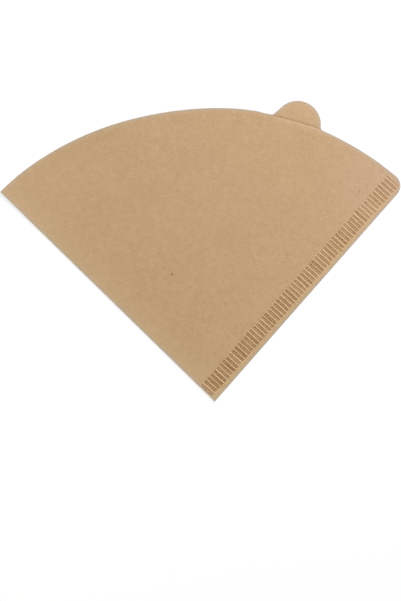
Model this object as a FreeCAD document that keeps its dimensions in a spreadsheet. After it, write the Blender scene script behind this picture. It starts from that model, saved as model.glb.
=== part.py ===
import FreeCAD, Part
import Sketcher
import os, math
from FreeCAD import Vector, Placement, Rotation

# Cone-shaped paper filter, folded flat, lying on its back layer.
# One sheet of filter paper: a plain fold along one straight side, a crimped
# seam along the other, an arched mouth that stays open, and a round pull tab
# on the back layer. Millimetres, +Z up, +Y from the apex to the mouth.
#
# The blank is drawn with the apex at the origin and the fold along +Y. The
# seam then runs close to +X. The body's Placement turns the bisector of the
# two onto +Y and puts the middle of the outline's box on the origin.

doc = FreeCAD.newDocument("cone_filter")

# ---------------------------------------------------------------- dimensions
dims = doc.addObject("Spreadsheet::Sheet", "dims")
VALUES = [
    ("mouth_radius", 125.0),       # apex to the cut mouth
    ("apex_angle", 87.32),         # fold to seam
    ("paper_thickness", 0.15),
    ("layer_gap", 0.20),           # air between the two layers at rest
    ("corner_radius", 5.5),        # rounded corner where seam meets mouth
    ("seam_margin", 2.0),          # plain strip outside the crimp
    ("seam_band", 6.6),            # length of one crimp dent
    ("seam_slope", 4.0),           # over which the layers part beside the band
    ("dent_width", 1.36),
    ("dent_depth", 0.12),
    ("dent_round", 0.28),          # plan radius of a dent's corners
    ("dent_taper", 25.0),          # slope of a dent's walls
    ("dent_pitch", 1.907),
    ("dent_count", 64),
    ("dent_first", 1.73),          # apex to the middle of the first dent
    ("fold_round", 0.14),          # outer radius pressed into the fold
    ("tab_radius", 9.8),
    ("tab_reach", 124.65),         # apex to the middle of the tab
    ("tab_angle", 24.6),           # seam to the middle of the tab
    ("tab_flank", 3.66),           # fold side: straight flank, off square to the fold
    ("tab_flare_fold", 1.5),       # concave radius where the flank meets the mouth
    ("tab_flare_seam", 2.0),       # concave radius, seam side
    ("centre_x", -1.1815),          # middle of the outline's box, row axes
    ("centre_y", 63.808),
]
V = {}
for row, (name, value) in enumerate(VALUES, start=1):
    dims.set("A%d" % row, name)
    dims.set("B%d" % row, "%g" % value)
    dims.setAlias("B%d" % row, name)
    V[name] = float(value)
doc.recompute()

theta = math.radians(V["apex_angle"])
seam_dir = Vector(math.sin(theta), math.cos(theta), 0)      # along the seam
in_dir = Vector(-math.cos(theta), math.sin(theta), 0)       # from seam inward
R = V["mouth_radius"]
T = V["paper_thickness"]
FULL = 2 * T + V["layer_gap"]                                # height at rest

body = doc.addObject("PartDesign::Body", "filter_paper")
body.Label = "filter_paper"


def plane(role):
    for f in body.Origin.OriginFeatures:
        if f.Role == role:
            return f
    raise RuntimeError(role)


def sketch(name, role, offset=None):
    sk = body.newObject("Sketcher::SketchObject", name)
    sk.AttachmentSupport = [(plane(role), "")]
    sk.MapMode = "FlatFace"
    if offset is not None:
        sk.AttachmentOffset = offset
    return sk


def C(sk, *args, **kw):
    """Adds a constraint; expr binds it to the dimension sheet."""
    i = sk.addConstraint(Sketcher.Constraint(*args))
    if "name" in kw:
        sk.renameConstraint(i, kw["name"])
    if "expr" in kw:
        sk.setExpression("Constraints." + kw["name"], kw["expr"])
    return i


def polygon(sk, pts):
    """Closed run of straight lines; returns the first line's index."""
    first = sk.GeometryCount
    n = len(pts)
    for i in range(n):
        a, b = pts[i], pts[(i + 1) % n]
        sk.addGeometry(Part.LineSegment(Vector(a[0], a[1], 0), Vector(b[0], b[1], 0)), False)
    for i in range(n):
        sk.addConstraint(Sketcher.Constraint("Coincident", first + i, 2, first + (i + 1) % n, 1))
    return first


def place(sk, line, x, y, tag):
    """Holds a line's start point; x and y are (value, expression)."""
    for kind, (value, expr), ax in (("DistanceX", x, "x"), ("DistanceY", y, "y")):
        if abs(value) < 1e-9 and expr is None:
            if kind == "DistanceX":
                sk.addConstraint(Sketcher.Constraint("PointOnObject", line, 1, -2))
            else:
                sk.addConstraint(Sketcher.Constraint("PointOnObject", line, 1, -1))
            continue
        i = sk.addConstraint(Sketcher.Constraint(kind, -1, 1, line, 1, value))
        sk.renameConstraint(i, tag + ax)
        if expr is not None:
            sk.setExpression("Constraints." + tag + ax, expr)


# ------------------------------------------------- 1 cross-section of the blank
# Drawn in the plane of the fold, so every distance from the seam is divided by
# the sine of the apex angle. Right of the seam band the back layer lies on the
# ground; in the band it is lifted by the depth of the dents.
k = 1 / math.sin(theta)
u_band = (V["seam_margin"] + V["seam_band"]) * k
u_flat = (V["seam_margin"] + V["seam_band"] + V["seam_slope"]) * k
FAR = R + 12
D = V["dent_depth"]
band_expr = "(dims.seam_margin + dims.seam_band) / sin(dims.apex_angle * 1 deg)"
flat_expr = "(dims.seam_margin + dims.seam_band + dims.seam_slope) / sin(dims.apex_angle * 1 deg)"
far_expr = "dims.mouth_radius + 12"
full_expr = "2 * dims.paper_thickness + dims.layer_gap"

sec = sketch("blank_section", "YZ_Plane")
pts = [(-6, D), (u_band, D), (u_flat, 0), (FAR, 0), (FAR, FULL), (u_flat, FULL), (u_band, D + 2 * T), (-6, D + 2 * T)]
f = polygon(sec, pts)
place(sec, f + 0, (-6, "-6"), (D, "dims.dent_depth"), "outer")
place(sec, f + 1, (u_band, band_expr), (D, "dims.dent_depth"), "band_low")
place(sec, f + 2, (u_flat, flat_expr), (0, None), "ground")
place(sec, f + 3, (FAR, far_expr), (0, None), "far_low")
place(sec, f + 4, (FAR, far_expr), (FULL, full_expr), "far_high")
place(sec, f + 5, (u_flat, flat_expr), (FULL, full_expr), "front")
place(sec, f + 6, (u_band, band_expr), (D + 2 * T, "dims.dent_depth + 2 * dims.paper_thickness"), "band_high")
place(sec, f + 7, (-6, "-6"), (D + 2 * T, "dims.dent_depth + 2 * dims.paper_thickness"), "edge_high")

blank = body.newObject("PartDesign::Pad", "blank")
blank.Profile = sec
blank.UseCustomVector = True
blank.Direction = seam_dir
blank.setExpression("Direction.x", "sin(dims.apex_angle * 1 deg)")
blank.setExpression("Direction.y", "cos(dims.apex_angle * 1 deg)")
blank.AlongSketchNormal = False
blank.Midplane = True
blank.Length = 2 * FAR
blank.setExpression("Length", "2 * (dims.mouth_radius + 12)")
sec.Visibility = False
doc.recompute()

# ----------------------------------------------------------- 2 cut to its outline
# Everything outside the folded outline: fold, mouth arc, rounded corner, seam.
out = sketch("outline", "XY_Plane")
rc = V["corner_radius"]
sc = math.sqrt((R - rc) ** 2 - rc ** 2)
cc = seam_dir * sc + in_dir * rc                 # middle of the corner's arc
tip = Vector(0, R, 0)
on_mouth = Vector(cc.x, cc.y, 0).normalize() * R
on_seam = seam_dir * sc
a_tip = math.pi / 2
a_on = math.atan2(on_mouth.y, on_mouth.x)
a_c0 = math.atan2(on_seam.y - cc.y, on_seam.x - cc.x)
fold_l = out.addGeometry(Part.LineSegment(Vector(0, 0, 0), tip), False)
mouth_a = out.addGeometry(Part.ArcOfCircle(Part.Circle(Vector(0, 0, 0), Vector(0, 0, 1), R), a_on, a_tip), False)
corner_a = out.addGeometry(Part.ArcOfCircle(Part.Circle(cc, Vector(0, 0, 1), rc), a_c0, a_on), False)
seam_l = out.addGeometry(Part.LineSegment(on_seam, Vector(0, 0, 0)), False)
C(out, "Coincident", fold_l, 1, -1, 1)
C(out, "PointOnObject", fold_l, 2, -2)
C(out, "Coincident", mouth_a, 3, -1, 1)
C(out, "Coincident", fold_l, 2, mouth_a, 2)
C(out, "Tangent", mouth_a, 1, corner_a, 2)
C(out, "Tangent", corner_a, 1, seam_l, 1)
C(out, "Coincident", seam_l, 2, -1, 1)
C(out, "Radius", mouth_a, R, name="mouth", expr="dims.mouth_radius")
C(out, "Radius", corner_a, rc, name="corner", expr="dims.corner_radius")
C(out, "Angle", fold_l, 1, seam_l, 2, -theta, name="apex", expr="-dims.apex_angle * 1 deg")
W = R + 40
g = polygon(out, [(-W, -W), (W, -W), (W, W), (-W, W)])
place(out, g + 0, (-W, "-dims.mouth_radius - 40"), (-W, "-dims.mouth_radius - 40"), "waste_a")
place(out, g + 1, (W, "dims.mouth_radius + 40"), (-W, "-dims.mouth_radius - 40"), "waste_b")
place(out, g + 2, (W, "dims.mouth_radius + 40"), (W, "dims.mouth_radius + 40"), "waste_c")
place(out, g + 3, (-W, "-dims.mouth_radius - 40"), (W, "dims.mouth_radius + 40"), "waste_d")

cut = body.newObject("PartDesign::Pocket", "cut_to_outline")
cut.Profile = out
cut.Type = "ThroughAll"
cut.Midplane = True
out.Visibility = False
doc.recompute()

# ------------------------------------------------------------ 3 the rounded fold
def fold_edges(shape):
    """Edges of the fold's two long sides: on x = 0, running along the fold."""
    names = []
    for i, e in enumerate(shape.Edges, start=1):
        b = e.BoundBox
        if abs(b.XMin) < 1e-4 and abs(b.XMax) < 1e-4 and b.YLength > 0.5 and b.YLength > 3 * b.ZLength:
            names.append("Edge%d" % i)
    return names


edges = fold_edges(cut.Shape)
print("fold edges", edges)
rnd = body.newObject("PartDesign::Fillet", "fold_roll")
rnd.Base = (cut, edges)
rnd.Radius = V["fold_round"]
rnd.setExpression("Radius", "dims.fold_round")
doc.recompute()

# ----------------------------------------------- 4 the space between the layers
# Closed at the fold by one thickness of paper and at the seam band; open all
# along the mouth.
off = Placement(Vector(T / math.tan(theta), 0, T), Rotation())
gap = sketch("gap_section", "YZ_Plane", off)
zc = D + T
pts = [(u_band, zc), (u_flat, T), (FAR, T), (FAR, FULL - T), (u_flat, FULL - T)]
f = polygon(gap, pts)
place(gap, f + 0, (u_band, band_expr), (zc, "dims.dent_depth + dims.paper_thickness"), "bond")
place(gap, f + 1, (u_flat, flat_expr), (T, "dims.paper_thickness"), "back_in")
place(gap, f + 2, (FAR, far_expr), (T, "dims.paper_thickness"), "back_far")
place(gap, f + 3, (FAR, far_expr), (FULL - T, "dims.paper_thickness + dims.layer_gap"), "front_far")
place(gap, f + 4, (u_flat, flat_expr), (FULL - T, "dims.paper_thickness + dims.layer_gap"), "front_in")

space = body.newObject("PartDesign::Pocket", "space_between")
space.Profile = gap
space.UseCustomVector = True
space.Direction = seam_dir
space.setExpression("Direction.x", "sin(dims.apex_angle * 1 deg)")
space.setExpression("Direction.y", "cos(dims.apex_angle * 1 deg)")
space.AlongSketchNormal = False
space.Length = R + 20
space.setExpression("Length", "dims.mouth_radius + 20")
gap.Visibility = False
doc.recompute()

# ------------------------------------------------------------------ 5 pull tab
# A round ear of the back layer only. On the fold's side it runs down to the
# mouth in a straight flank, on the seam's side in a concave flare.
tabk = sketch("tab_outline", "XY_Plane")
rt = V["tab_radius"]
at = (math.pi / 2 - theta) + math.radians(V["tab_angle"])
tc = Vector(math.cos(at), math.sin(at), 0) * V["tab_reach"]


def flare(rf, side):
    """Centre of a flare's arc: touches the mouth and the tab from outside."""
    a, b, c = R + rf, V["tab_reach"], rt + rf
    da = math.acos((a * a + b * b - c * c) / (2 * a * b))
    t = at + side * da
    return Vector(math.cos(t), math.sin(t), 0) * a


fr = flare(V["tab_flare_seam"], -1)
rf = V["tab_flare_fold"]
na = math.pi / 2 - math.radians(V["tab_flank"])
nrm = Vector(math.cos(na), math.sin(na), 0)                  # square to the flank
run = Vector(-math.sin(na), math.cos(na), 0)                 # along it, to the mouth
off_c = tc + nrm * (rt + rf)
bq = off_c.dot(run)
fl = off_c + run * (-bq - math.sqrt(bq * bq - off_c.dot(off_c) + (R + rf) ** 2))
ml = Vector(fl.x, fl.y, 0).normalize() * R
mr = Vector(fr.x, fr.y, 0).normalize() * R


def ang(p, c):
    return math.atan2(p.y - c.y, p.x - c.x)


tl = tc + nrm * rt
t2 = fl - nrm * rf
tr = tc + (fr - tc).normalize() * rt
tab_arc = tabk.addGeometry(Part.ArcOfCircle(Part.Circle(tc, Vector(0, 0, 1), rt), ang(tr, tc), ang(tl, tc)), False)
left_arc = tabk.addGeometry(Part.ArcOfCircle(Part.Circle(fl, Vector(0, 0, 1), V["tab_flare_fold"]), ang(ml, fl), ang(t2, fl)), False)
right_arc = tabk.addGeometry(Part.ArcOfCircle(Part.Circle(fr, Vector(0, 0, 1), V["tab_flare_seam"]), ang(tr, fr), ang(mr, fr)), False)
mouth_ref = tabk.addGeometry(Part.Circle(Vector(0, 0, 0), Vector(0, 0, 1), R), True)
chord = tabk.addGeometry(Part.LineSegment(mr, ml), False)
flank = tabk.addGeometry(Part.LineSegment(tl, t2), False)
C(tabk, "Coincident", mouth_ref, 3, -1, 1)
C(tabk, "Radius", mouth_ref, R, name="mouth", expr="dims.mouth_radius")
C(tabk, "Radius", tab_arc, rt, name="tab", expr="dims.tab_radius")
C(tabk, "Radius", left_arc, V["tab_flare_fold"], name="flare_fold", expr="dims.tab_flare_fold")
C(tabk, "Radius", right_arc, V["tab_flare_seam"], name="flare_seam", expr="dims.tab_flare_seam")
C(tabk, "Tangent", tab_arc, 1, right_arc, 1)
C(tabk, "Tangent", tab_arc, 2, flank, 1)
C(tabk, "Tangent", flank, 2, left_arc, 2)
C(tabk, "Angle", flank, math.atan2(run.y, run.x), name="flank", expr="(180 - dims.tab_flank) * 1 deg")
C(tabk, "Coincident", chord, 1, right_arc, 2)
C(tabk, "Coincident", chord, 2, left_arc, 1)
C(tabk, "Tangent", left_arc, 1, mouth_ref)
C(tabk, "Tangent", right_arc, 2, mouth_ref)
C(tabk, "DistanceX", -1, 1, tab_arc, 3, tc.x, name="tab_x",
  expr="dims.tab_reach * cos((90 - dims.apex_angle + dims.tab_angle) * 1 deg)")
C(tabk, "DistanceY", -1, 1, tab_arc, 3, tc.y, name="tab_y",
  expr="dims.tab_reach * sin((90 - dims.apex_angle + dims.tab_angle) * 1 deg)")

tab = body.newObject("PartDesign::Pad", "pull_tab")
tab.Profile = tabk
tab.Length = T
tab.setExpression("Length", "dims.paper_thickness")
tabk.Visibility = False
doc.recompute()

# ----------------------------------------------------------------- 6 crimped seam
# Drawn in a plane whose first axis runs along the seam. Each dent is pressed
# through both layers, so it stands out beneath by as much as it sinks above.
turn = Rotation(Vector(0, 0, 1), 90 - V["apex_angle"])


def dent_sketch(name, z):
    sk = sketch(name, "XY_Plane", Placement(Vector(0, 0, z), turn))
    w, r = V["dent_width"] / 2, V["dent_round"]
    x0, x1 = V["dent_first"] - w, V["dent_first"] + w
    y0, y1 = V["seam_margin"], V["seam_margin"] + V["seam_band"]
    L = Part.LineSegment
    A = Part.ArcOfCircle
    Z = Vector(0, 0, 1)
    lo = sk.addGeometry(L(Vector(x0 + r, y0, 0), Vector(x1 - r, y0, 0)), False)
    a1 = sk.addGeometry(A(Part.Circle(Vector(x1 - r, y0 + r, 0), Z, r), -math.pi / 2, 0), False)
    ri = sk.addGeometry(L(Vector(x1, y0 + r, 0), Vector(x1, y1 - r, 0)), False)
    a2 = sk.addGeometry(A(Part.Circle(Vector(x1 - r, y1 - r, 0), Z, r), 0, math.pi / 2), False)
    hi = sk.addGeometry(L(Vector(x1 - r, y1, 0), Vector(x0 + r, y1, 0)), False)
    a3 = sk.addGeometry(A(Part.Circle(Vector(x0 + r, y1 - r, 0), Z, r), math.pi / 2, math.pi), False)
    le = sk.addGeometry(L(Vector(x0, y1 - r, 0), Vector(x0, y0 + r, 0)), False)
    a4 = sk.addGeometry(A(Part.Circle(Vector(x0 + r, y0 + r, 0), Z, r), math.pi, 1.5 * math.pi), False)
    ring = [(lo, 2, a1, 1), (a1, 2, ri, 1), (ri, 2, a2, 1), (a2, 2, hi, 1), (hi, 2, a3, 1), (a3, 2, le, 1), (le, 2, a4, 1), (a4, 2, lo, 1)]
    for a, b, c, d in ring:
        C(sk, "Tangent", a, b, c, d)
    C(sk, "Horizontal", lo)
    C(sk, "Horizontal", hi)
    C(sk, "Vertical", ri)
    C(sk, "Radius", a1, r, name="round", expr="dims.dent_round")
    C(sk, "Equal", a1, a2)
    C(sk, "Equal", a1, a3)
    C(sk, "DistanceY", -1, 1, lo, 1, y0, name="margin", expr="dims.seam_margin")
    C(sk, "DistanceY", lo, 1, hi, 1, y1 - y0, name="band", expr="dims.seam_band")
    C(sk, "DistanceX", -1, 1, le, 1, x0, name="first", expr="dims.dent_first - dims.dent_width / 2")
    C(sk, "DistanceX", le, 1, ri, 1, x1 - x0, name="width", expr="dims.dent_width")
    return sk


def pattern(name, feature, sk):
    p = body.newObject("PartDesign::LinearPattern", name)
    p.Originals = [feature]
    p.Direction = (sk, ["H_Axis"])
    p.Length = V["dent_pitch"] * (V["dent_count"] - 1)
    p.setExpression("Length", "dims.dent_pitch * (dims.dent_count - 1)")
    p.Occurrences = int(V["dent_count"])
    p.setExpression("Occurrences", "dims.dent_count")
    return p


under = dent_sketch("bump_outline", D)
bump = body.newObject("PartDesign::Pad", "bump_below")
bump.Profile = under
bump.Length = D
bump.setExpression("Length", "dims.dent_depth")
bump.Reversed = True
bump.TaperAngle = -V["dent_taper"]
bump.setExpression("TaperAngle", "-dims.dent_taper")
under.Visibility = False
doc.recompute()
bumps = pattern("bumps_below", bump, under)
body.Tip = bumps
doc.recompute()
v_bumps = bumps.Shape.Volume - tab.Shape.Volume

over = dent_sketch("dent_outline", D + 2 * T)
dent = body.newObject("PartDesign::Pocket", "dent_above")
dent.Profile = over
dent.Length = D
dent.setExpression("Length", "dims.dent_depth")
dent.TaperAngle = -V["dent_taper"]
dent.setExpression("TaperAngle", "-dims.dent_taper")
over.Visibility = False
doc.recompute()
dents = pattern("dents_above", dent, over)
body.Tip = dents
doc.recompute()
v_dents = bumps.Shape.Volume - dents.Shape.Volume

# -------------------------------------------------------------- place in the row
half = V["apex_angle"] / 2
body.Placement = Placement(Vector(-V["centre_x"], -V["centre_y"], 0), Rotation(Vector(0, 0, 1), half))
body.setExpression("Placement.Base.x", "-dims.centre_x * 1 mm")
body.setExpression("Placement.Base.y", "-dims.centre_y * 1 mm")
doc.recompute()

# ------------------------------------------------------------------------ checks
bad = []
for o in doc.Objects:
    state = list(getattr(o, "State", []))
    if "Invalid" in state or "Error" in state:
        bad.append((o.Name, state))
if bad:
    raise SystemExit("failed objects: %s" % bad)
for n, s in (("blank", blank), ("cut", cut), ("fold", rnd), ("space", space), ("tab", tab), ("bumps", bumps), ("dents", dents)):
    print("%-6s volume %.3f  solids %d  valid %s" % (n, s.Shape.Volume, len(s.Shape.Solids), s.Shape.isValid()))
print("bumps add %.3f, dents take %.3f mm3" % (v_bumps, v_dents))
one = V["dent_width"] * V["seam_band"] * D * V["dent_count"]
if not (0.6 * one < v_bumps < 1.05 * one and 0.6 * one < v_dents < 1.05 * one):
    raise SystemExit("the crimp has the wrong volume: %.2f %.2f of %.2f" % (v_bumps, v_dents, one))

os.makedirs("parts", exist_ok=True)
for o in (body,):
    s = o.Shape
    if s.isNull() or not s.isValid() or len(s.Solids) != 1:
        raise SystemExit("bad shape: %s" % o.Label)
    b = s.BoundBox
    print("%s box %.3f..%.3f  %.3f..%.3f  %.3f..%.3f  volume %.2f  faces %d" % (
        o.Label, b.XMin, b.XMax, b.YMin, b.YMax, b.ZMin, b.ZMax, s.Volume, len(s.Faces)))
    s.exportStep(os.path.join("parts", o.Label + ".step"))
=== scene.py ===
import bpy
import bmesh
import math
import numpy as np
from mathutils import Matrix, Vector
from mathutils.geometry import delaunay_2d_cdt


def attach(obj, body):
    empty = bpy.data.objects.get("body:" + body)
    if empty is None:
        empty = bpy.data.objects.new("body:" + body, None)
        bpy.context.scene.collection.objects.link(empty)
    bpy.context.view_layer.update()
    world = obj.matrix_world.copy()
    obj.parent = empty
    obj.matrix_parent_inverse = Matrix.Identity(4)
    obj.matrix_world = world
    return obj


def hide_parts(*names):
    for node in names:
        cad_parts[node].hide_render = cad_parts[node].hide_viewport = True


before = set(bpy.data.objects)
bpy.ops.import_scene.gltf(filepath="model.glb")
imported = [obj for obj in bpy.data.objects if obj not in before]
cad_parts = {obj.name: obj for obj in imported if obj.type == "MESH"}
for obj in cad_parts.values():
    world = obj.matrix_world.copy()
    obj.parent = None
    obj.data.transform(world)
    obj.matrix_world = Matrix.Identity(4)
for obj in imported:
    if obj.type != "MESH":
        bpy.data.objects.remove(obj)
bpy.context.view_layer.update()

MM = 0.001

# colour of the crimp, with the painted shade on its dents' walls and the painted highlight on its ridges, and of the
# rims
CRIMP_FADE, PRESS_MIX, WALL_SHADE_MIX, RIDGE_HIGHLIGHT_MIX, RIM_MIX = 0.56, 0.52, 0.72, 0.46, 0.38

# ---------------------------------------------------------------- dimensions, mm
# A flat-folded cone of filter paper. Plan coordinates: x, y from the pointed
# apex, with +y up the bisector of fold and seam. s runs along the seam from the
# apex and q is the distance in from the seam.
CX, CY = 1.1815, -63.808            # apex-based to row frame
THETA = math.radians(87.32)         # fold to seam
HALF = THETA / 2
PAPER = 0.15
DENT = 0.13                         # depth pressed through both layers
MARGIN, BAND = 2.1, 6.6
BOND = 8.75                         # the layers part further in than this
PITCH, FIRST, COUNT = 1.9071, 1.728, 64
SEAM = np.array([math.sin(HALF), math.cos(HALF)])
INWARD = np.array([-math.cos(HALF), math.sin(HALF)])
FOLD = np.array([-math.sin(HALF), math.cos(HALF)])
FOLD_IN = np.array([math.cos(HALF), math.sin(HALF)])
CORNER_R = 5.5
TAB_C, TAB_R = np.array([40.695, 117.819]), 9.96
FLARE_FOLD, FLARE_SEAM = 1.7, 2.0
FLANK = math.radians(130.0)         # square to the tab's straight flank, fold side

# The cut mouth isn't a perfect circle: distance from the apex at each angle.
MOUTH = [(46.0, 124.60), (49.0, 124.61), (55.0, 124.88), (60.1, 125.00), (66.0, 125.26), (72.0, 125.40),
         (78.0, 125.47), (81.0, 125.47), (84.5, 125.29), (88.1, 125.03), (91.5, 124.78), (95.5, 124.58),
         (100.3, 124.48), (105.5, 124.57), (110.0, 124.73), (115.0, 124.93), (119.0, 125.10), (124.9, 125.34),
         (129.7, 125.42), (134.0, 125.30)]
_ma = np.array([m[0] for m in MOUTH])
_mr = np.array([m[1] for m in MOUTH])
_md = np.gradient(_mr, _ma)


def mouth_r(deg):
    """Smooth curve through MOUTH (cubic Hermite)."""
    deg = np.clip(np.asarray(deg, float), _ma[0], _ma[-1])
    i = np.clip(np.searchsorted(_ma, deg) - 1, 0, len(_ma) - 2)
    h = _ma[i + 1] - _ma[i]
    t = (deg - _ma[i]) / h
    return ((2 * t**3 - 3 * t**2 + 1) * _mr[i] + (t**3 - 2 * t**2 + t) * h * _md[i]
            + (-2 * t**3 + 3 * t**2) * _mr[i + 1] + (t**3 - t**2) * h * _md[i + 1])


def smooth(a, b, x):
    t = np.clip((np.asarray(x, float) - a) / (b - a), 0, 1)
    return t * t * (3 - 2 * t)


def sq(p):
    p = np.asarray(p, float)
    return p @ SEAM, p @ INWARD


def xy(s, q):
    s, q = np.broadcast_arrays(np.asarray(s, float), np.asarray(q, float))
    return s[..., None] * SEAM + q[..., None] * INWARD


def polar(p):
    p = np.asarray(p, float)
    return np.degrees(np.arctan2(p[..., 1], p[..., 0])), np.hypot(p[..., 0], p[..., 1])


# ------------------------------------------------------------- height of the sheet
def gap(p):
    """Air between the two layers: none at the seam, a little at the fold, and
    most at the middle of the mouth, where the paper bows open."""
    s, q = sq(p)
    a, r = polar(p)
    open_ = smooth(BOND, BOND + 5.0, q)
    f = np.clip((a - math.degrees(math.pi / 2 - HALF)) / math.degrees(THETA), 0, 1)
    bow = np.sin(math.pi * f) ** 1.5 * np.clip(r / 125.0, 0, 1.1) ** 2.2
    bow = bow * (1 - 0.30 * np.exp(-((a - 70.9) / 6.5) ** 2))      # held closer by the tab
    return open_ * 0.16 + open_ * bow * 0.75


def curl(p):
    """The whole filter lies flat with the mouth's tips a touch off the ground."""
    a, r = polar(p)
    tip = smooth(118.0, 134.0, a) * smooth(92, 126, r)
    ear = smooth(118.5, 129.0, r) * np.exp(-((a - 70.9) / 5.0) ** 2)
    end = smooth(56.0, 46.0, a) * smooth(98, 126, r)
    return 0.42 * tip ** 1.5 + 0.30 * ear + 0.22 * end ** 1.5


rng = np.random.RandomState(20)
D_SHIFT = np.clip(rng.normal(0, 0.025, COUNT), -0.06, 0.06)
D_WIDE = np.clip(rng.normal(0.725, 0.018, COUNT), 0.69, 0.76)
D_LO = rng.normal(0, 0.09, COUNT)
D_HI = rng.normal(0, 0.09, COUNT)
D_AMP = np.clip(rng.normal(1.0, 0.12, COUNT), 0.72, 1.25)
D_LEAN = rng.normal(0.004, 0.006, COUNT)
D_RISE = np.clip(rng.normal(0.34, 0.12, COUNT), 0.1, 0.6)
D_TONE = np.clip(rng.normal(1.0, 0.15, COUNT), 0.7, 1.35)
D_WALL_SHADE = np.clip(rng.normal([0.75, 1.25], 0.38, (COUNT, 2)), 0.15, 2.0)
D_LINE = rng.normal(0.46, 0.035, (COUNT, 2))
D_RIDGE = np.clip(rng.normal(0.97, 0.16, COUNT), 0.6, 1.4)
D_WIDE[0], D_SHIFT[0], D_AMP[0], D_TONE[0], D_TONE[1] = 0.70, -0.16, 0.75, 0.70, 1.25
D_WALL_SHADE[0], D_RIDGE[0], D_RIDGE[1] = (1.3, 1.3), 0.6, 0.8
D_WIDE[-1], D_SHIFT[-1], D_AMP[-1], D_TONE[-1] = 0.46, -0.16, 0.8, 1.5
D_WALL_SHADE[-1], D_RIDGE[-2], D_RIDGE[-1] = (0.4, 1.2), 0.7, 0.35


def dent(s, q):
    """(how far pressed 0..1, how strong the painted shade along the walls is, how strong the painted highlight on the
    ridges is, index) of the crimp.
    """
    s, q = np.asarray(s, float), np.asarray(q, float)
    k = np.clip(np.round((s - FIRST) / PITCH).astype(int), 0, COUNT - 1)
    u = s - FIRST - PITCH * k - D_SHIFT[k] - D_LEAN[k] * (q - 5.4)
    lo = MARGIN + 0.06 - 0.0032 * (s - 15) + D_LO[k]
    hi = MARGIN + BAND - 0.02 - 0.0016 * (s - 15) + D_HI[k]
    qc, h = (lo + hi) / 2, (hi - lo) / 2
    rr = 0.20
    dx, dy = np.abs(u) - (D_WIDE[k] - rr), np.abs(q - qc) - (h - rr)
    d = np.hypot(np.maximum(dx, 0), np.maximum(dy, 0)) + np.minimum(np.maximum(dx, dy), 0) - rr
    inside = 1 - smooth(-0.18, 0.05, d)
    rise = D_RISE[k] * np.exp(-(u / 0.26) ** 2) * inside * smooth(0.0, 0.8, h - np.abs(q - qc))
    row = smooth(-0.32, 0.28, h - np.abs(q - qc)) * smooth(0.3, 0.9, s) * (1 - smooth(FIRST + PITCH * (COUNT - 1) + 0.5, FIRST + PITCH * (COUNT - 1) + 0.8, s))
    j = (u > 0).astype(int)                       # the dent's two long creases
    # painted shade: a dark line along each long wall of a dent, mostly on the +s side, away from the key light
    wall_shade = D_WALL_SHADE[k, j] * np.exp(-((np.abs(u) - D_LINE[k, j]) / 0.12) ** 2) * inside
    # painted highlight: the ridges between the dents are lighter
    ridge_highlight = D_RIDGE[np.clip(k + j - 1, 0, COUNT - 1)]
    return D_AMP[k] * inside * (1 - rise), wall_shade, ridge_highlight * row * (1 - inside), k


def heights(p):
    """z of outer back, inner back, inner front and outer front, and the press, with the dents' tone, the painted wall
    shade and the painted ridge highlight.
    """
    s, q = sq(p)
    press, wall, ridge, k = dent(s, q)
    near = (q < BOND + 0.5) & (q > 0.5)
    press = np.where(near, press, 0)
    tone = press * D_TONE[k]
    wall = np.where(near, wall, 0)
    ridge = np.where(near, ridge, 0)
    lift = DENT * 1.25 * (1 - smooth(BOND, BOND + 4.5, q))
    base = lift + curl(p)
    g = gap(p)
    low = -DENT * press
    return base + low, base + PAPER, base + PAPER + g, base + 2 * PAPER + g + low, tone, wall, ridge


# ------------------------------------------------------------------- plan outlines
def fold_half(q):
    """Half the height of the fold's roll at q along the fold."""
    p = xy(np.asarray(q) / math.tan(THETA), q)
    g = gap(p)
    return (2 * PAPER + g) / 2


def fold_line(q):
    """Where the flat of the layers ends and the roll begins."""
    q = np.asarray(q, float)
    return xy(q / math.tan(THETA) + fold_half(q) / math.sin(THETA), q)


# along the fold, apex to tip
q_tip = 125.30 * math.sin(THETA) - 0.02
Q_FOLD = np.concatenate([np.linspace(0, BOND, 30), BOND + (q_tip - BOND) * (np.linspace(0, 1, 101)[1:])])
I_BOND = 29                                    # index of the vertex at q = BOND
P_FOLD = fold_line(Q_FOLD)
TIP = P_FOLD[-1]
a_tip = polar(TIP)[0]

# rounded corner, tangent to the seam and to the mouth
R_END = 124.61
sc = math.sqrt((R_END - CORNER_R) ** 2 - CORNER_R ** 2)
CORNER = xy(sc, CORNER_R)
a_corner = polar(CORNER)[0]


def trim(deg):
    """How much shorter the front layer is cut than the back one, beside the tab."""
    return np.interp(deg, [64.5, 66, 67.7, 70, 72.5, 75.5, 77.0, 79.0], [0, 0.05, 0.22, 0.48, 0.72, 0.72, 0.45, 0])


def arc_points(a0, a1, step, shorter=0.0):
    n = max(2, int(abs(a1 - a0) * math.pi / 180 * 125 / step) + 1)
    a = np.linspace(a0, a1, n)
    r = mouth_r(a) - shorter * trim(a)
    return np.stack([np.cos(np.radians(a)) * r, np.sin(np.radians(a)) * r], 1)


def circle_points(c, r, t0, t1, n):
    t = np.linspace(t0, t1, n)
    return np.stack([c[0] + r * np.cos(t), c[1] + r * np.sin(t)], 1)


# the bonded end of the mouth: from where the layers part to the seam's corner
a_bond = a_corner
for _ in range(40):
    a_bond = 90 - math.degrees(HALF) + math.degrees(math.asin(BOND / float(mouth_r(a_bond))))
M_BOND = arc_points(a_bond, a_corner, 0.35)
t_m = math.atan2(CORNER[1], CORNER[0])
t_s = math.atan2(-INWARD[1], -INWARD[0])
if t_s > t_m:
    t_s -= 2 * math.pi
M_CORNER = circle_points(CORNER, CORNER_R, t_m, t_s, 32)
S_EDGE = np.linspace(sc, P_FOLD[0] @ SEAM, 230)
M_SEAM = xy(S_EDGE, 0.0)
# one run of rim from the parting point round the corner and down to the apex
RIM = np.concatenate([M_BOND, M_CORNER[1:], M_SEAM[1:-1]])

FRONT_MOUTH = arc_points(a_tip, a_bond, 0.6, 1.0)
FRONT_MOUTH[0] = TIP


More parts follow.
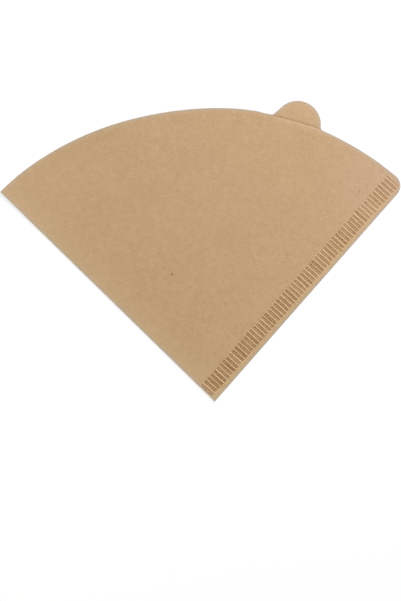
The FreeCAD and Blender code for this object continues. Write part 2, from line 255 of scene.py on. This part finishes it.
def flare(rf, side, deg):
    r_loc = float(mouth_r(deg))
    a, b, c = r_loc + rf, float(np.hypot(*TAB_C)), TAB_R + rf
    t = math.atan2(TAB_C[1], TAB_C[0]) + side * math.acos((a * a + b * b - c * c) / (2 * a * b))
    f = np.array([math.cos(t), math.sin(t)]) * a
    return f, math.degrees(t)


f_r, a_r = flare(FLARE_SEAM, -1, 65.8)
n_l = np.array([math.cos(FLANK), math.sin(FLANK)])
d_l = np.array([-n_l[1], n_l[0]])
o_l = TAB_C + n_l * (TAB_R + FLARE_FOLD)
a_l = 76.5
for _ in range(20):
    f_l = o_l + d_l * (-(o_l @ d_l) - math.sqrt((o_l @ d_l) ** 2 - o_l @ o_l + (float(mouth_r(a_l)) + FLARE_FOLD) ** 2))
    a_l = math.degrees(math.atan2(f_l[1], f_l[0]))


def ang(p, c):
    return math.atan2(p[1] - c[1], p[0] - c[0])


m_l = f_l * (1 - FLARE_FOLD / np.hypot(*f_l))
e_l = f_l - n_l * FLARE_FOLD
m_r = f_r * (1 - FLARE_SEAM / np.hypot(*f_r))
t_l = TAB_C + n_l * TAB_R
t_r = TAB_C + (f_r - TAB_C) * TAB_R / np.hypot(*(f_r - TAB_C))
L_ARC = circle_points(f_l, FLARE_FOLD, ang(m_l, f_l), ang(e_l, f_l), 9)
L_ARC = np.concatenate([L_ARC, e_l + np.linspace(0, 1, 9)[1:, None] * (t_l - e_l)])
T_ARC = circle_points(TAB_C, TAB_R, ang(t_l, TAB_C), ang(t_r, TAB_C), 64)
R_ARC = circle_points(f_r, FLARE_SEAM, ang(t_r, f_r) % (2 * math.pi), ang(m_r, f_r) % (2 * math.pi), 11)
BACK_MOUTH = np.concatenate([arc_points(a_tip, a_l, 0.6)[:-1], L_ARC, T_ARC[1:], R_ARC[1:], arc_points(a_r, a_bond, 0.6)[1:]])
BACK_MOUTH[0] = TIP
BACK_MOUTH[-1] = FRONT_MOUTH[-1]
RIM[0] = FRONT_MOUTH[-1]


# ------------------------------------------------------------------ plan point sets
def seg_distance(p, loop):
    """Distance of points p from a closed polyline."""
    a, b = loop, np.roll(loop, -1, 0)
    best = np.full(len(p), 1e9)
    for i in range(0, len(p), 4000):
        q_ = p[i:i + 4000, None, :]
        d = b - a
        t = np.clip(((q_ - a) * d).sum(2) / (d * d).sum(1), 0, 1)
        best[i:i + 4000] = np.hypot(*(np.moveaxis(q_ - (a + t[..., None] * d), 2, 0))).min(1)
    return best


def inside(p, loop):
    x, y = p[:, 0], p[:, 1]
    res = np.zeros(len(p), bool)
    a, b = loop, np.roll(loop, -1, 0)
    for (x0, y0), (x1, y1) in zip(a, b):
        c = (y0 > y) != (y1 > y)
        if y1 != y0:
            res ^= c & (x < (x1 - x0) * (y - y0) / (y1 - y0) + x0)
    return res


def inset(loop, dist, step):
    """Points at a distance inside a closed loop, for a clean band along its edge."""
    d = np.roll(loop, -1, 0) - loop
    L = np.hypot(*d.T)
    s_ = np.concatenate([[0], np.cumsum(L)])
    closed = np.concatenate([loop, loop[:1]])
    t = np.arange(0, s_[-1], step)
    pts = np.stack([np.interp(t, s_, closed[:, 0]), np.interp(t, s_, closed[:, 1])], 1)
    i = np.clip(np.searchsorted(s_, t, "right") - 1, 0, len(loop) - 1)
    n = np.stack([-d[i, 1], d[i, 0]], 1) / L[i, None]
    area = (loop[:, 0] * np.roll(loop[:, 1], -1) - loop[:, 1] * np.roll(loop[:, 0], -1)).sum()
    return pts + n * dist * (1 if area > 0 else -1)


COLS = np.array([-0.9535, -0.84, -0.76, -0.69, -0.62, -0.54, -0.45, -0.34, -0.18, 0.0, 0.18, 0.34, 0.45, 0.54, 0.62, 0.69, 0.76, 0.84])
_rows = [-0.30, -0.10, 0.04, 0.16, 0.28, 0.44, 0.75, 1.3, 2.1, 3.0]
ROWS_LO = np.array([MARGIN + 0.1 + r for r in _rows])
ROWS_HI = np.array([MARGIN + 0.1 + BAND - r for r in _rows])
ROWS = np.sort(np.concatenate([ROWS_LO, ROWS_HI]))


def band_points():
    s = (FIRST + PITCH * np.arange(COUNT)[:, None] + COLS[None, :]).ravel()
    s = np.append(s, FIRST + PITCH * (COUNT - 1) + 0.9535)
    S, Q = np.meshgrid(s, ROWS)
    return xy(S, Q).reshape(-1, 2)


def row_points(q, step, phase=0.0):
    return xy(np.arange(0.2 + phase * step, 126, step), q)


def hex_points(step, q0):
    out = []
    q, i = q0, 0
    while q < 126:
        out.append(xy(np.arange(-1 + (i % 2) * step / 2, 127, step), q))
        q += step * 0.866
        i += 1
    return np.concatenate(out)


def tab_points(step):
    g = np.arange(-12, 12, step)
    X, Y = np.meshgrid(g, g)
    X = X + (np.arange(len(g)) % 2)[:, None] * step / 2
    p = np.stack([X.ravel(), Y.ravel() * 0.93], 1) + TAB_C
    return p[np.hypot(*p.T) > 124.6]


def keep(pts, loop, clear):
    pts = pts[inside(pts, loop)]
    return pts[seg_distance(pts, loop) > clear]


def thin(pts, taken, clear):
    """Drops points nearer than clear to those already taken."""
    if len(taken) == 0:
        return pts
    cell = clear
    grid = {}
    for x, y in taken:
        grid.setdefault((int(x // cell), int(y // cell)), []).append((x, y))
    out = []
    for x, y in pts:
        i, j = int(x // cell), int(y // cell)
        ok = True
        for a in (i - 1, i, i + 1):
            for b in (j - 1, j, j + 1):
                for u, v in grid.get((a, b), ()):
                    if (u - x) ** 2 + (v - y) ** 2 < clear * clear:
                        ok = False
                        break
                if not ok:
                    break
            if not ok:
                break
        if ok:
            out.append((x, y))
    return np.array(out).reshape(-1, 2)


def gather(loop, fine, tab):
    """Interior points of one face of the paper."""
    sets = []
    if fine:
        sets.append((keep(band_points(), loop, 0.10), 0.0))
        for q, step, ph in ((1.45, 0.26, 0.3), (1.05, 0.40, 0.1), (0.62, 0.50, 0.5), (9.25, 0.27, 0.2), (9.65, 0.42, 0.6),
                            (10.15, 0.60, 0.0), (10.8, 0.80, 0.5), (11.6, 1.0, 0.1)):
            sets.append((keep(row_points(q, step, ph), loop, 0.22), 0.18))
        sets.append((keep(inset(loop, 0.22, 0.6), loop, 0.18), 0.14))
        sets.append((keep(inset(loop, 0.60, 0.7), loop, 0.5), 0.30))
        sets.append((keep(hex_points(1.25, 12.6), loop, 0.75), 0.55))
    else:
        sets.append((keep(inset(loop, 0.5, 0.9), loop, 0.4), 0.3))
        sets.append((keep(hex_points(2.3, BOND + 1.6), loop, 0.9), 0.8))
    if tab:
        sets.append((keep(inset(loop, 0.25, 0.5), loop, 0.2), 0.2))
        sets.append((keep(tab_points(1.1), loop, 0.6), 0.5))
    got = np.zeros((0, 2))
    for pts, clear in sets:
        if clear > 0:
            pts = thin(pts, got, clear)
        got = np.concatenate([got, pts])
    return got


# ------------------------------------------------------------------------ the mesh
verts, press_, wall_, ridge_, layer_ = [], [], [], [], []
faces, group = [], []


def add(p, z, press=0.0, wall=0.0, layer=0.0, ridge=0.0):
    verts.append((float(p[0]) + CX, float(p[1]) + CY, float(z)))
    press_.append(float(press))
    wall_.append(float(wall))
    ridge_.append(float(ridge))
    layer_.append(float(layer))
    return len(verts) - 1


def add_many(pts, which):
    h = heights(pts)
    z = h[which]
    outer = which in (0, 3)
    return [add(p, zz, pr if outer else 0, w if outer else 0, which, rd if outer else 0)
            for p, zz, pr, w, rd in zip(pts, z, h[4], h[5], h[6])]


def surface(loop_ids, loop_pts, pts, which, gid, up):
    ids = list(loop_ids) + add_many(pts, which)
    allp = np.concatenate([loop_pts, pts])
    # the loop runs clockwise, and the call wants its faces the other way round
    out = delaunay_2d_cdt([Vector(p) for p in allp], [], [list(range(len(loop_pts)))[::-1]], 1, 1e-7, True)
    fs, orig, of_face = out[2], out[3], out[5]
    back = [o[0] if o else None for o in orig]
    if any(b is None for b in back):
        raise RuntimeError("plan outline crosses itself")
    for f, owner in zip(fs, of_face):
        if not owner:                      # outside the outline
            continue
        t = [back[i] for i in f]
        a, b, c = allp[t[0]], allp[t[1]], allp[t[2]]
        ccw = (b[0] - a[0]) * (c[1] - a[1]) - (b[1] - a[1]) * (c[0] - a[0]) > 0
        if ccw != up:
            t = t[::-1]
        faces.append([ids[i] for i in t])
        group.append(gid)


def strip(a, b, gid, flip=False):
    """Quads between two equal runs of vertices."""
    for i in range(len(a) - 1):
        f = [a[i], a[i + 1], b[i + 1], b[i]]
        g = []
        for v in f:
            if v not in g:
                g.append(v)
        if len(g) > 2:
            faces.append(g[::-1] if flip else g)
            group.append(gid)


# shared boundary vertices: outer front (3), outer back (0), inner front (2), inner back (1)
of_fold = add_many(P_FOLD, 3)
ob_fold = add_many(P_FOLD, 0)
hB = heights(P_FOLD[I_BOND:])
if_fold = add_many(P_FOLD[I_BOND:], 2)
ib_fold = [if_fold[0]] + add_many(P_FOLD[I_BOND + 1:], 1)

of_mouth = [of_fold[-1]] + add_many(FRONT_MOUTH[1:], 3)
if_mouth = [if_fold[-1]] + add_many(FRONT_MOUTH[1:], 2)
ob_mouth = [ob_fold[-1]] + add_many(BACK_MOUTH[1:], 0)
ib_mouth = [ib_fold[-1]] + add_many(BACK_MOUTH[1:-1], 1) + [if_mouth[-1]]

of_rim = [of_mouth[-1]] + add_many(RIM[1:], 3)
ob_rim = [ob_mouth[-1]] + add_many(RIM[1:], 0)
# the line between the two pressed layers, a hair inside the cut
hr = heights(RIM)
dr = np.gradient(RIM, axis=0)
nr = np.stack([dr[:, 1], -dr[:, 0]], 1) / np.hypot(*dr.T)[:, None]
if (nr[len(nr) // 2] @ INWARD) < 0:
    nr = -nr
mid_rim = [if_mouth[-1]] + [add(p + n * 0.03, (a + b) / 2, 0, 0, 5) for p, n, a, b in zip(RIM[1:], nr[1:], hr[0][1:], hr[3][1:])]
h0 = heights(P_FOLD[:1])
mid_apex = add(P_FOLD[0] + np.array([0.0, 0.03]), (h0[0][0] + h0[3][0]) / 2, 0, 0, 5)

# bond line, fold to mouth
s0, s1 = P_FOLD[I_BOND] @ SEAM, FRONT_MOUTH[-1] @ SEAM
BONDL = xy(np.linspace(s0, s1, 160)[1:-1], BOND)
hb = heights(BONDL)
bond_ids = [add(p, (a + b) / 2, 0, 0, 2) for p, a, b in zip(BONDL, hb[1], hb[2])]

# loops, clockwise from the apex: fold up to the tip, mouth, corner, seam down
OUT_F_P = np.concatenate([P_FOLD[:-1], FRONT_MOUTH[:-1], RIM])
OUT_F_I = of_fold[:-1] + of_mouth[:-1] + of_rim
OUT_B_P = np.concatenate([P_FOLD[:-1], BACK_MOUTH[:-1], RIM])
OUT_B_I = ob_fold[:-1] + ob_mouth[:-1] + ob_rim
IN_F_P = np.concatenate([P_FOLD[I_BOND:-1], FRONT_MOUTH, BONDL[::-1]])
IN_F_I = if_fold[:-1] + if_mouth + bond_ids[::-1]
IN_B_P = np.concatenate([P_FOLD[I_BOND:-1], BACK_MOUTH, BONDL[::-1]])
IN_B_I = ib_fold[:-1] + ib_mouth + bond_ids[::-1]

surface(OUT_F_I, OUT_F_P, gather(OUT_F_P, True, False), 3, 0, True)
surface(OUT_B_I, OUT_B_P, gather(OUT_B_P, True, True), 0, 0, False)
surface(IN_F_I, IN_F_P, gather(IN_F_P, False, False), 2, 0, False)
surface(IN_B_I, IN_B_P, gather(IN_B_P, False, True), 1, 0, True)

# cut edges
strip(of_mouth, if_mouth, 1)
strip(ob_mouth, ib_mouth, 2, True)
strip(of_rim, mid_rim, 3)
strip(mid_rim, ob_rim, 4)
faces.append([of_rim[-1], of_fold[0], mid_apex, mid_rim[-1]]); group.append(3)
faces.append([mid_rim[-1], mid_apex, ob_fold[0], ob_rim[-1]]); group.append(4)

# the roll of the fold
K = 7


def ring(i, inner):
    """Vertices of the roll's section at fold vertex i, top to bottom."""
    if inner:
        top, bot = if_fold[i - I_BOND], ib_fold[i - I_BOND]
    else:
        top, bot = of_fold[i], ob_fold[i]
    zt, zb = verts[top][2], verts[bot][2]
    hh = (zt - zb) / 2
    bulge = hh if not inner else max(0.0, (verts[of_fold[i]][2] - verts[ob_fold[i]][2]) / 2 - PAPER)
    ids = [top]
    for j in range(1, K + 1):
        al = math.pi / 2 - math.pi * j / (K + 1)
        ids.append(add(P_FOLD[i] - FOLD_IN * bulge * math.cos(al), (zt + zb) / 2 + hh * math.sin(al), 0, 0, 6 if not inner else 1))
    return ids + [bot]


outer = [ring(i, False) for i in range(len(P_FOLD))]
for a, b in zip(outer[:-1], outer[1:]):
    strip(a, b, 0)
innerr = [ring(i, True) for i in range(I_BOND + 1, len(P_FOLD))]
apexv = if_fold[0]
for u, v in zip(innerr[0][:-1], innerr[0][1:]):
    faces.append([apexv, u, v]); group.append(0)
for a, b in zip(innerr[:-1], innerr[1:]):
    strip(a, b, 0)
strip(outer[-1], innerr[-1], 5)
for u, v in zip(outer[0][:-1], outer[0][1:]):
    faces.append([mid_apex, u, v]); group.append(6)

me = bpy.data.meshes.new("filter_sheet")
me.from_pydata([(x * MM, y * MM, z * MM) for x, y, z in verts], [], faces)
me.update()

# distance of every vertex from the nearest cut edge of its own layer, mm
V2 = np.array(verts)[:, :2] - np.array([CX, CY])
lay = np.array(layer_)
cutF = np.concatenate([FRONT_MOUTH, RIM[1:]])
cutB = np.concatenate([BACK_MOUTH, RIM[1:]])


def open_distance(p, line):
    best = np.full(len(p), 1e9)
    a, b = line[:-1], line[1:]
    d = b - a
    for i in range(0, len(p), 4000):
        q_ = p[i:i + 4000, None, :]
        t = np.clip(((q_ - a) * d).sum(2) / (d * d).sum(1), 0, 1)
        best[i:i + 4000] = np.hypot(*(np.moveaxis(q_ - (a + t[..., None] * d), 2, 0))).min(1)
    return best


dF, dB = open_distance(V2, cutF), open_distance(V2, cutB)
foldd = np.abs(V2 @ FOLD_IN)
pol = polar(V2)[0]
# a painted highlight along the front layer's cut edge where it lies over the tab
lip_highlight = np.where((lay == 3) & (dB > 0.6), 0.67 * np.exp(-(dF / 0.45) ** 2) + 0.33 * np.exp(-(dF / 1.7) ** 2), 0) * smooth(65.0, 66.5, pol) * (1 - smooth(75.0, 76.5, pol))


def attribute(name, values):
    at = me.attributes.new(name, "FLOAT", "POINT")
    at.data.foreach_set("value", np.asarray(values, np.float32))


attribute("press", press_)
attribute("wall", wall_)
attribute("ridge", ridge_)
attribute("lip_highlight", lip_highlight)
SQ = sq(V2)[1]
# where the painted highlight on the seam's raised margin goes
attribute("margin", smooth(0.4, 1.3, SQ) * (1 - smooth(1.8, 2.3, SQ)))
attribute("seam_distance", np.clip(SQ, 0, 40))
ear = smooth(0.0, 0.9, polar(V2)[1] - mouth_r(pol)) * smooth(60, 63, pol) * (1 - smooth(79, 81, pol))
attribute("ear", ear * (lay < 2))
attribute("cut_distance", np.minimum(dB, 5.0))
attribute("fold_distance", np.minimum(foldd, 14.0))

bm = bmesh.new()
bm.from_mesh(me)
bmesh.ops.recalc_face_normals(bm, faces=bm.faces)
bm.faces.ensure_lookup_table()
if bm.calc_volume(signed=True) < 0:
    bmesh.ops.reverse_faces(bm, faces=bm.faces)
loose = sum(1 for e in bm.edges if len(e.link_faces) != 2)
for e in bm.edges:
    if len(e.link_faces) == 2:
        g0, g1 = group[e.link_faces[0].index], group[e.link_faces[1].index]
        e.smooth = g0 == g1
for f in bm.faces:
    f.smooth = True
print("sheet: verts", len(bm.verts), "triangles", sum(len(f.verts) - 2 for f in bm.faces), "edges not shared by two faces", loose,
      "volume mm3 %.1f" % (bm.calc_volume(signed=True) * 1e9), "area mm2 %.1f" % (sum(f.calc_area() for f in bm.faces) * 1e6))
bm.to_mesh(me)
bm.free()

sheet = bpy.data.objects.new("filter_paper_sheet", me)
bpy.context.scene.collection.objects.link(sheet)
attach(sheet, "root")
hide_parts("filter_paper")


# -------------------------------------------------------------------- paper material
def srgb(r, g, b):
    return tuple((c / 255 / 12.92 if c / 255 <= 0.04045 else ((c / 255 + 0.055) / 1.055) ** 2.4) for c in (r, g, b)) + (1.0,)


mat = bpy.data.materials.new("kraft_filter_paper")
mat.use_nodes = True
nt = mat.node_tree
nt.nodes.clear()
N = nt.nodes.new
LK = nt.links.new
outn = N("ShaderNodeOutputMaterial")
bsdf = N("ShaderNodeBsdfPrincipled")
bsdf.inputs["Roughness"].default_value = 0.88
bsdf.inputs["Specular IOR Level"].default_value = 0.18
bsdf.inputs["Sheen Weight"].default_value = 0.0
LK(bsdf.outputs[0], outn.inputs[0])
tc = N("ShaderNodeTexCoord")


def mapping(scale, loc=(0, 0, 0), rot=(0, 0, 0)):
    m = N("ShaderNodeMapping")
    m.inputs["Scale"].default_value = scale
    m.inputs["Location"].default_value = loc
    m.inputs["Rotation"].default_value = rot
    LK(tc.outputs["Object"], m.inputs["Vector"])
    return m.outputs[0]


def noise(vec, scale, detail=2.0, rough=0.5, dist=0.0):
    n = N("ShaderNodeTexNoise")
    n.inputs["Scale"].default_value = scale
    n.inputs["Detail"].default_value = detail
    n.inputs["Roughness"].default_value = rough
    n.inputs["Distortion"].default_value = dist
    LK(vec, n.inputs["Vector"])
    return n.outputs["Fac"]


def math_(op, a, b=None, c=None, clamp=False):
    m = N("ShaderNodeMath")
    m.operation = op
    m.use_clamp = clamp
    for i, v in enumerate((a, b, c)):
        if v is None:
            continue
        if isinstance(v, (int, float)):
            m.inputs[i].default_value = v
        else:
            LK(v, m.inputs[i])
    return m.outputs[0]


def rng_(v, a, b, c, d, kind="SMOOTHSTEP"):
    m = N("ShaderNodeMapRange")
    m.interpolation_type = kind
    m.inputs["From Min"].default_value = a
    m.inputs["From Max"].default_value = b
    m.inputs["To Min"].default_value = c
    m.inputs["To Max"].default_value = d
    LK(v, m.inputs["Value"])
    return m.outputs["Result"]


def mix(fac, a, b, kind="MIX"):
    m = N("ShaderNodeMix")
    m.data_type = "RGBA"
    m.blend_type = kind
    if isinstance(fac, (int, float)):
        m.inputs[0].default_value = fac
    else:
        LK(fac, m.inputs[0])
    for i, v in ((6, a), (7, b)):
        if isinstance(v, tuple):
            m.inputs[i].default_value = v
        else:
            LK(v, m.inputs[i])
    return m.outputs[2]


def attr(name):
    a = N("ShaderNodeAttribute")
    a.attribute_name = name
    return a.outputs["Fac"]


def plus(a, b):
    return math_("ADD", a, b)


def times(a, b):
    return math_("MULTIPLY", a, b)


def centred(v):
    return math_("SUBTRACT", v, 0.5)


# Colours are what the paper shows under this light; LIGHT turns them into albedo.
LIGHT = 1.31


def paper(r, g, b):
    return tuple(c / LIGHT for c in srgb(r, g, b)[:3]) + (1.0,)


flat = mapping((1, 1, 1))
cloud = noise(flat, 55, 3, 0.55)                 # centimetre clouds of the pulp
form = noise(flat, 420, 4, 0.6)                  # formation, a few millimetres
grain = noise(flat, 1500, 4, 0.7)                # below a millimetre
fib_a = noise(mapping((1, 0.16, 1), rot=(0, 0, 0.5)), 3200, 3, 0.6, 0.6)
fib_b = noise(mapping((0.16, 1, 1), rot=(0, 0, 0.35)), 3200, 3, 0.6, 0.6)

shade = plus(times(centred(cloud), 0.24), times(centred(form), 0.67))
shade = plus(shade, times(centred(grain), 1.38))
fibres = math_("ADD", rng_(fib_a, 0.62, 0.78, 0, 1), rng_(fib_b, 0.62, 0.78, 0, 1), clamp=True)
shade = plus(shade, times(fibres, 0.14))
col = mix(math_("ADD", shade, 0.5, clamp=True), paper(178.4, 145.4, 104.7), paper(208.4, 175.4, 134.7))

# a few darker specks of bran and fibre
specks = rng_(noise(mapping((1, 1, 1), loc=(0.31, 0.17, 0.0)), 950, 2, 0.5, 0.4), 0.61, 0.72, 0.0, 1.0)
col = mix(times(specks, 0.12), col, paper(118, 84, 52))

# the paper is a little lighter by the fold and by the cut edges
near_fold = rng_(attr("fold_distance"), 1.0, 12.0, 1.0, 0.0)
col = mix(times(near_fold, 0.30), col, paper(207, 176, 138))
worn = math_("MAXIMUM", rng_(attr("cut_distance"), 0.2, 2.8, 1.0, 0.0), rng_(attr("fold_distance"), 0.2, 3.2, 1.0, 0.0))
col = mix(times(worn, 0.09), col, paper(230, 198, 160))
# painted light: a lighter strip along the inner side of the crimp band, where the layers rise to meet it
seam_side_light = attr("seam_distance")
seam_side_light = times(rng_(seam_side_light, 8.0, 9.5, 0.0, 1.0), rng_(seam_side_light, 10.0, 32.0, 1.0, 0.0))
col = mix(times(seam_side_light, 0.045), col, paper(226, 195, 157))
col = mix(times(attr("ear"), 0.11), col, paper(226, 194, 158))

# crimp: the pressed paper is denser and browner, and part of its darkness is painted shade;
# painted shade darkens the dents' sides most, a painted highlight lightens the ridges between; it fades a little
# towards the mouth
along = N("ShaderNodeMapping")
along.vector_type = "TEXTURE"
along.inputs["Rotation"].default_value = (0, 0, math.pi / 2 - HALF)
along.inputs["Scale"].default_value = (1, 5, 1)
LK(tc.outputs["Object"], along.inputs["Vector"])
streak = noise(along.outputs[0], 2600, 3, 0.6)
sep = N("ShaderNodeSeparateXYZ")
LK(tc.outputs["Object"], sep.inputs[0])
run_s = plus(times(sep.outputs[0], float(SEAM[0])), times(sep.outputs[1], float(SEAM[1])))   # metres along the seam
fade = rng_(run_s, -0.030, 0.056, 1.0, CRIMP_FADE, "LINEAR")
first = rng_(run_s, -0.045, -0.034, 0.90, 1.0)
last = rng_(run_s, 0.050, 0.066, 0.0, 1.0)
fade = times(fade, first)
press, wall, ridge = attr("press"), attr("wall"), attr("ridge")
pf = times(times(press, rng_(streak, 0.34, 0.66, 0.45, 1.45)), fade)
col = mix(math_("MULTIPLY", pf, PRESS_MIX, clamp=True), col, paper(142, 92, 14))
# painted shade along the dents' walls
wf = times(times(wall, rng_(noise(flat, 1500, 2, 0.6), 0.38, 0.60, 0.15, 1.25)), fade)
col = mix(math_("MULTIPLY", wf, WALL_SHADE_MIX, clamp=True), col, paper(98, 55, 11))
# painted highlight on the ridges
rf = times(times(ridge, first), plus(times(last, 0.25), 1.0))
col = mix(math_("MULTIPLY", rf, RIDGE_HIGHLIGHT_MIX, clamp=True), col, paper(242, 207, 166))
# painted highlight on the raised margin between the dents and the seam's edge
col = mix(times(attr("margin"), 0.10), col, paper(248, 206, 138))
col = mix(math_("MULTIPLY", times(last, press), 0.30, clamp=True), col, paper(172, 130, 70))

# the cut edges and the fold look greyer: loose fibres lie bare there
rim = rng_(attr("cut_distance"), 0.2, 1.5, RIM_MIX, 0.0)
rim_f = rng_(attr("fold_distance"), 0.2, 1.5, RIM_MIX, 0.0)
rim = math_("MAXIMUM", rim, rim_f)
grey = N("ShaderNodeRGBToBW")
LK(col, grey.inputs[0])
gcol = N("ShaderNodeCombineColor")
for i in range(3):
    LK(grey.outputs[0], gcol.inputs[i])
warm = N("ShaderNodeMix")
warm.data_type = "RGBA"
warm.blend_type = "MULTIPLY"
warm.inputs[0].default_value = 1.0
LK(gcol.outputs[0], warm.inputs[6])
warm.inputs[7].default_value = (1.07, 1.065, 0.97, 1)
col = mix(rim, col, warm.outputs[2])
# painted highlight on the front layer's edge over the tab
col = mix(times(attr("lip_highlight"), 0.60), col, paper(226, 194, 156))


def spot(x, y, deg, long_, wide, depth, soft, c, tall=2.6):
    """A patch of another tone at plan x, y, in mm: a fleck in the front layer, or wider and taller."""
    global col
    m = N("ShaderNodeMapping")
    m.vector_type = "TEXTURE"
    m.inputs["Location"].default_value = ((x + CX) * MM, (y + CY) * MM, 1.1 * MM)
    m.inputs["Rotation"].default_value = (0, 0, math.radians(deg))
    m.inputs["Scale"].default_value = (long_ / 2 * MM, wide / 2 * MM, tall / 2 * MM)
    LK(tc.outputs["Object"], m.inputs["Vector"])
    v = N("ShaderNodeVectorMath")
    v.operation = "LENGTH"
    LK(m.outputs[0], v.inputs[0])
    col = mix(rng_(v.outputs["Value"], soft, 1.0, depth, 0.0), col, c)


# the paper is paler round the fold's tip and by the seam's corner
spot(-86.3, 90.4, 0, 108, 108, 0.14, 0.0, paper(226, 195, 157), 400)
spot(83.6, 92.9, 0, 84, 84, 0.11, 0.0, paper(204, 175, 178), 400)

# a darker patch over the inner half of the last dents
spot(76.8, 89.8, 46.3, 13, 5.6, 0.15, 0.2, paper(150, 112, 70))

pulp = paper(108, 74, 44)
spot(-15.85, 53.85, 42, 2.15, 0.86, 0.92, 0.40, pulp)
spot(-16.20, 53.10, 40, 1.1, 0.40, 0.16, 0.2, pulp)
spot(-7.82, 115.82, 4, 1.9, 0.9, 0.22, 0.1, pulp)
spot(-33.41, 65.19, 2, 1.5, 1.0, 0.22, 0.1, pulp)
spot(65.70, 87.64, 60, 1.5, 0.76, 0.75, 0.3, pulp)
spot(64.95, 86.50, 58, 3.4, 1.0, 0.40, 0.1, pulp)
spot(-8.76, 48.23, 92, 3.0, 0.9, 0.11, 0.1, pulp)

LK(col, bsdf.inputs["Base Color"])
bh = math_("ADD", math_("MULTIPLY", form, 0.5), math_("MULTIPLY", grain, 0.5))
bh = math_("ADD", bh, math_("MULTIPLY", fibres, 0.35))
bump = N("ShaderNodeBump")
bump.inputs["Strength"].default_value = 0.35
bump.inputs["Distance"].default_value = 0.00006
LK(bh, bump.inputs["Height"])
LK(bump.outputs[0], bsdf.inputs["Normal"])
me.materials.append(mat)

# ------------------------------------------------------------------- floor and light
fm = bpy.data.meshes.new("floor")
S = 6.5
fm.from_pydata([(-S, -S, 0), (S, -S, 0), (S, S, 0), (-S, S, 0)], [], [(0, 1, 2, 3)])
floor = bpy.data.objects.new("floor", fm)
floor.location.z = -0.00004
bpy.context.scene.collection.objects.link(floor)
fmat = bpy.data.materials.new("floor_white")
fmat.use_nodes = True
fb = fmat.node_tree.nodes["Principled BSDF"]
fb.inputs["Base Color"].default_value = (0.36, 0.36, 0.36, 1)
fb.inputs["Roughness"].default_value = 0.95
fb.inputs["Specular IOR Level"].default_value = 0.1
fb.inputs["Emission Color"].default_value = (1, 1, 1, 1)
fb.inputs["Emission Strength"].default_value = 0.60
fm.materials.append(fmat)

# a pale cyclorama far off, so that low views have no dark horizon
wm = bpy.data.meshes.new("backdrop")
ring_ = [(6 * math.cos(2 * math.pi * i / 64), 6 * math.sin(2 * math.pi * i / 64)) for i in range(64)]
wm.from_pydata([(x, y, -0.01) for x, y in ring_] + [(x, y, 1.7) for x, y in ring_], [],
               [(i, i + 64, (i + 1) % 64 + 64, (i + 1) % 64) for i in range(64)])
backdrop = bpy.data.objects.new("backdrop", wm)
bpy.context.scene.collection.objects.link(backdrop)
wmat = bpy.data.materials.new("backdrop_white")
wmat.use_nodes = True
wb = wmat.node_tree.nodes["Principled BSDF"]
wb.inputs["Base Color"].default_value = (0, 0, 0, 1)
wb.inputs["Roughness"].default_value = 1.0
wb.inputs["Specular IOR Level"].default_value = 0.0
wb.inputs["Emission Color"].default_value = (1, 1, 0.98, 1)
wb.inputs["Emission Strength"].default_value = 0.73
wm.materials.append(wmat)

world = bpy.data.worlds.new("studio")
bpy.context.scene.world = world
world.use_nodes = True
bg = world.node_tree.nodes["Background"]
bg.inputs[0].default_value = (1, 0.99, 0.95, 1)
bg.inputs[1].default_value = 0.315


def area(name, loc, size, energy, target=(0, 0, 0), color=(1, 1, 1)):
    d = bpy.data.lights.new(name, "AREA")
    d.shape = "DISK"
    d.size = size
    d.energy = energy
    d.color = color
    o = bpy.data.objects.new(name, d)
    o.location = loc
    o.rotation_euler = (Vector(target) - Vector(loc)).to_track_quat("-Z", "Y").to_euler()
    bpy.context.scene.collection.objects.link(o)
    return o


area("key", (0.30, 0.38, 0.34), 0.40, 4.6, (0.0, 0.0, 0), (0.97, 0.99, 1.08))
area("fill", (-0.52, -0.40, 0.42), 0.30, 2.9, (0, 0, 0), (1.0, 0.98, 0.87))

# --------------------------------------------------------------------------- camera
rx, ry, rz = (math.radians(v) for v in (-7.278, 5.068, 1.635))
M = Matrix.Rotation(rz, 3, "Z") @ Matrix.Rotation(ry, 3, "Y") @ Matrix.Rotation(rx, 3, "X")
t = Vector((5.9327, -41.9801, -589.1216))
Rw = M.transposed()
loc = -(Rw @ t) + Vector((CX, CY, 0.5))
cam = bpy.data.cameras.new("camera")
cam.sensor_width = 36
cam.lens = 1417 / 601 * 36
cam.clip_start = 0.01
camo = bpy.data.objects.new("camera", cam)
camo.matrix_world = Matrix.Translation(loc * MM) @ Rw.to_4x4()
bpy.context.scene.collection.objects.link(camo)
bpy.context.scene.camera = camo

bpy.context.scene.view_settings.view_transform = "Standard"
bpy.context.scene.view_settings.look = "None"
